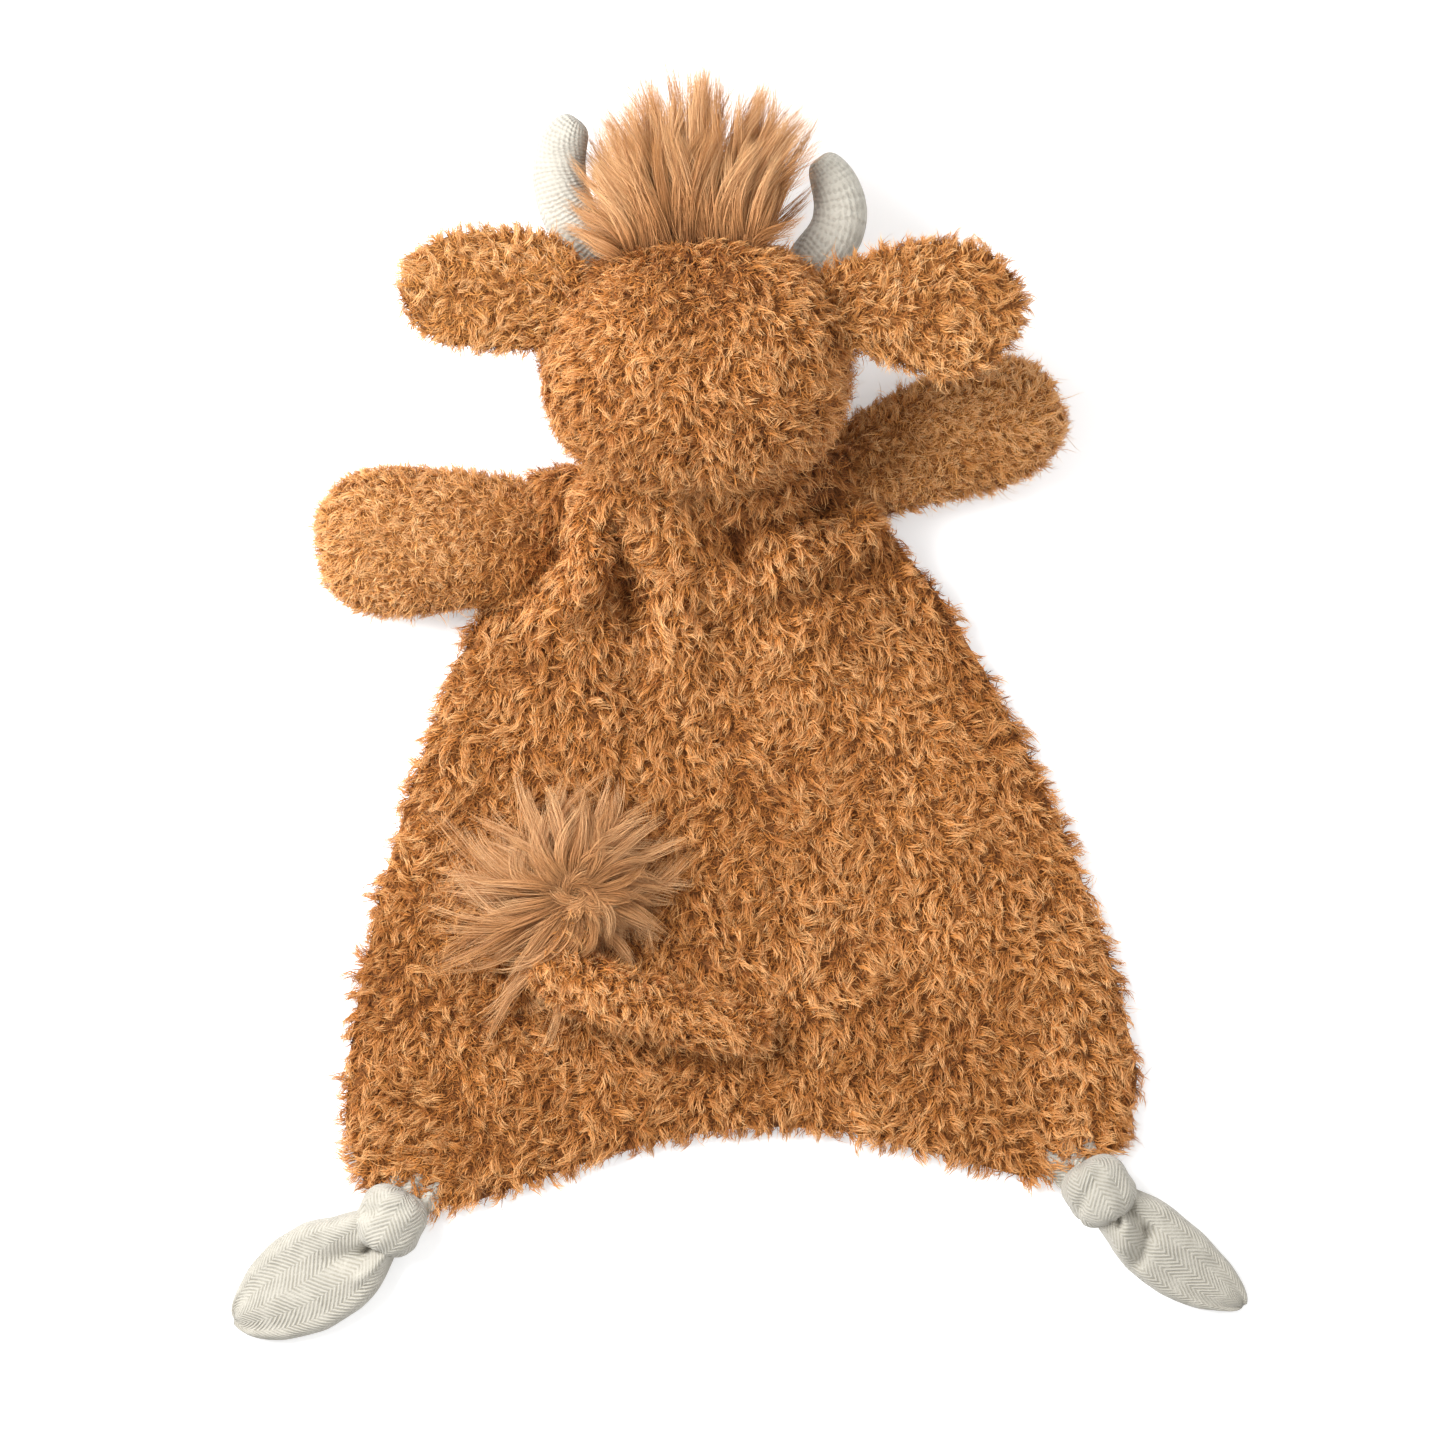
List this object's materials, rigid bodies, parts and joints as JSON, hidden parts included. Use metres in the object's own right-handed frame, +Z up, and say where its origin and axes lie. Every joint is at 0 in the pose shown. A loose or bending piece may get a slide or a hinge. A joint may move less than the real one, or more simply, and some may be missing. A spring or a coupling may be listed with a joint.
{
  "type": "comfort blanket lovey",
  "caption": "Soft cow comfort blanket lying face down, with a stuffed head, arms, horns, ears, a tufted tail and knotted corner tabs.",
  "frame": {"origin": "middle of the centre-back seam, on the blanket's underside, on the table", "axes": "+Y towards the head, +Z up out of the toy's back, +X towards the toy's right side as it lies face down"},
  "size_m": [0.264, 0.3168, 0.071],
  "materials": {
    "plush": "caramel wavy plush",
    "lining": "short plush",
    "long_hair": "long brushed pile",
    "cream": "fine ribbed fabric",
    "filling": "fibre filling",
    "thread": "embroidery thread"
  },
  "bodies": {
    "blanket": {"blanket_back_left": "plush", "blanket_back_right": "plush", "blanket_lining": "lining"},
    "head": {"face_panel": "plush", "head_back_left": "plush", "head_back_right": "plush", "head_stuffing": "filling", "left_eye": "thread", "left_nostril": "thread", "muzzle_cover": "cream", "muzzle_stuffing": "filling", "right_eye": "thread", "right_nostril": "thread", "topknot": "long_hair"},
    "left_horn": {"left_horn_cover": "cream", "left_horn_stuffing": "filling"},
    "right_horn": {"right_horn_cover": "cream", "right_horn_stuffing": "filling"},
    "left_ear": {"left_ear_back": "plush", "left_ear_lining": "cream"},
    "right_ear": {"right_ear_back": "plush", "right_ear_lining": "cream"},
    "left_arm": {"left_arm_back": "plush", "left_arm_front": "plush", "left_arm_stuffing": "filling"},
    "right_arm": {"right_arm_back": "plush", "right_arm_front": "plush", "right_arm_stuffing": "filling"},
    "tail": {"tail_cover": "plush", "tail_stuffing": "filling", "tail_tuft": "long_hair"},
    "left_tab": {"left_tab_knot": "cream", "left_tab_leaf": "cream", "left_tab_strap": "cream"},
    "right_tab": {"right_tab_knot": "cream", "right_tab_leaf": "cream", "right_tab_strap": "cream"}
  },
  "joints": [
    {"name": "head_nod", "type": "hinge", "parent": "blanket", "child": "head", "pos_m": [-0.00953, 0.08205, 0.02509], "axis": [1, 0, 0], "range_deg": [0, 50]},
    {"name": "left_arm_lift", "type": "hinge", "parent": "blanket", "child": "left_arm", "pos_m": [-0.05292, 0.06698, 0.01384], "axis": [-0.0175, 0.9998, 0], "range_deg": [0, 60]},
    {"name": "right_arm_lift", "type": "hinge", "parent": "blanket", "child": "right_arm", "pos_m": [0.03136, 0.0851, 0.01483], "axis": [0.2924, -0.9563, 0], "range_deg": [0, 28]},
    {"name": "left_ear_fold", "type": "hinge", "parent": "head", "child": "left_ear", "pos_m": [-0.0476, 0.12146, 0.05206], "axis": [0.2627, 0.9649, 0], "range_deg": [-10, 60], "stiffness_Nm_per_rad": 0.02},
    {"name": "right_ear_fold", "type": "hinge", "parent": "head", "child": "right_ear", "pos_m": [0.02855, 0.12146, 0.05206], "axis": [0.2627, -0.9649, 0], "range_deg": [-10, 60], "stiffness_Nm_per_rad": 0.02},
    {"name": "left_horn_flex", "type": "hinge", "parent": "head", "child": "left_horn", "pos_m": [-0.03666, 0.13918, 0.03533], "axis": [0.8343, 0.5513, 0], "range_deg": [-15, 15], "stiffness_Nm_per_rad": 0.05},
    {"name": "right_horn_flex", "type": "hinge", "parent": "head", "child": "right_horn", "pos_m": [0.02133, 0.13629, 0.03518], "axis": [0.7452, -0.6668, 0], "range_deg": [-15, 15], "stiffness_Nm_per_rad": 0.05},
    {"name": "tail_lift", "type": "hinge", "parent": "blanket", "child": "tail", "pos_m": [0.00466, -0.05795, 0.0106], "axis": [0.2079, 0.9781, 0], "range_deg": [0, 120]},
    {"name": "left_tab_lift", "type": "hinge", "parent": "blanket", "child": "left_tab", "pos_m": [-0.08447, -0.0974, 0.0055], "axis": [-0.7373, 0.6756, 0], "range_deg": [0, 90]},
    {"name": "right_tab_lift", "type": "hinge", "parent": "blanket", "child": "right_tab", "pos_m": [0.08913, -0.09037, 0.0055], "axis": [-0.7547, -0.6561, 0], "range_deg": [0, 90]}
  ]
}
